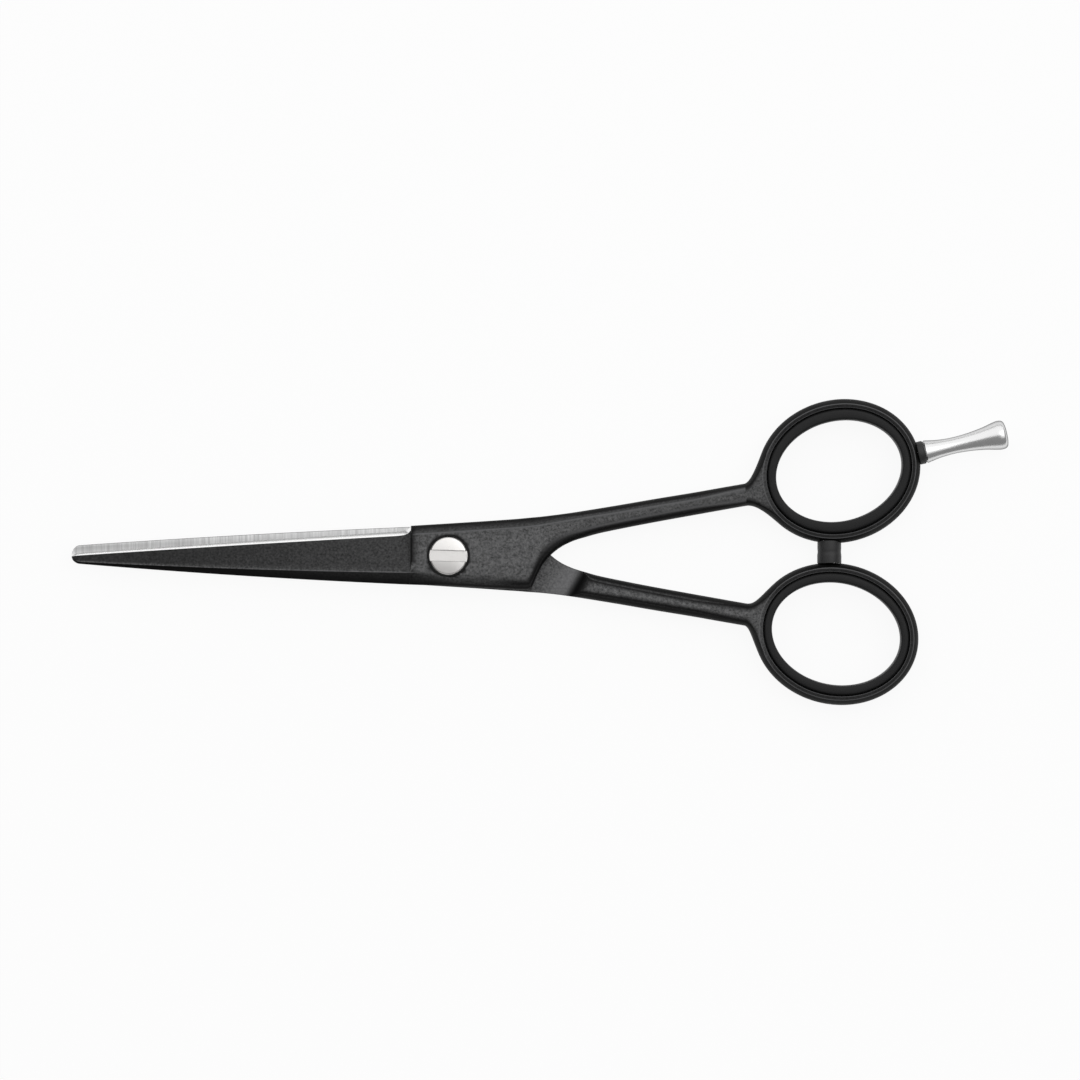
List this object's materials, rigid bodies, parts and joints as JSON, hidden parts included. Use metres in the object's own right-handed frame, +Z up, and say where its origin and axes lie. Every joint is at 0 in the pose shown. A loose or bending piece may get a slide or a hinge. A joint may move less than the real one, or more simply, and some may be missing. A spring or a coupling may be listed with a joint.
{
  "type": "hair cutting shears",
  "caption": "Black coated hair cutting shears with ground blades, a slotted tension screw, soft ring liners, a bumper and a screw-in finger rest.",
  "frame": {"origin": "on the pivot axis, in the flat plane the closed shears rest on, at the flush end of the pivot screw", "axes": "+X from the pivot towards the handles, with the blades along -X; +Y towards the finger ring; +Z up along the pivot axis, towards the screw head"},
  "size_m": [0.1541, 0.0504, 0.0053],
  "materials": {
    "black_coating": "satin black coating on steel, bare ground steel on the edges",
    "polished_steel": "polished",
    "black_nylon": "matte",
    "soft_plastic": "satin",
    "rubber": "matte"
  },
  "bodies": {
    "thumb_side": {"thumb_half": "black_coating", "thread_lock_ring": "black_nylon", "thumb_ring_insert": "soft_plastic"},
    "finger_side": {"finger_half": "black_coating", "pivot_bush": "black_nylon", "finger_ring_insert": "soft_plastic", "bumper": "rubber", "finger_rest_washer": "rubber"},
    "tension_screw": {"pivot_screw": "polished_steel"},
    "rest": {"finger_rest": "polished_steel"}
  },
  "joints": [
    {"name": "blade_pivot", "type": "hinge", "parent": "thumb_side", "child": "finger_side", "pos_m": [0, 0, 0.0025], "axis": [0, 0, 1], "range_deg": [0, 110]},
    {"name": "tension_turn", "type": "hinge", "parent": "thumb_side", "child": "tension_screw", "pos_m": [0, 0, 0], "axis": [0, 0, 1], "range_deg": [-45, 180]},
    {"name": "rest_unscrew", "type": "hinge", "parent": "finger_side", "child": "rest", "pos_m": [0.0642, 0.01393, 0.0025], "axis": [0.9759, 0.2181, 0], "range_deg": [0, 720]}
  ]
}
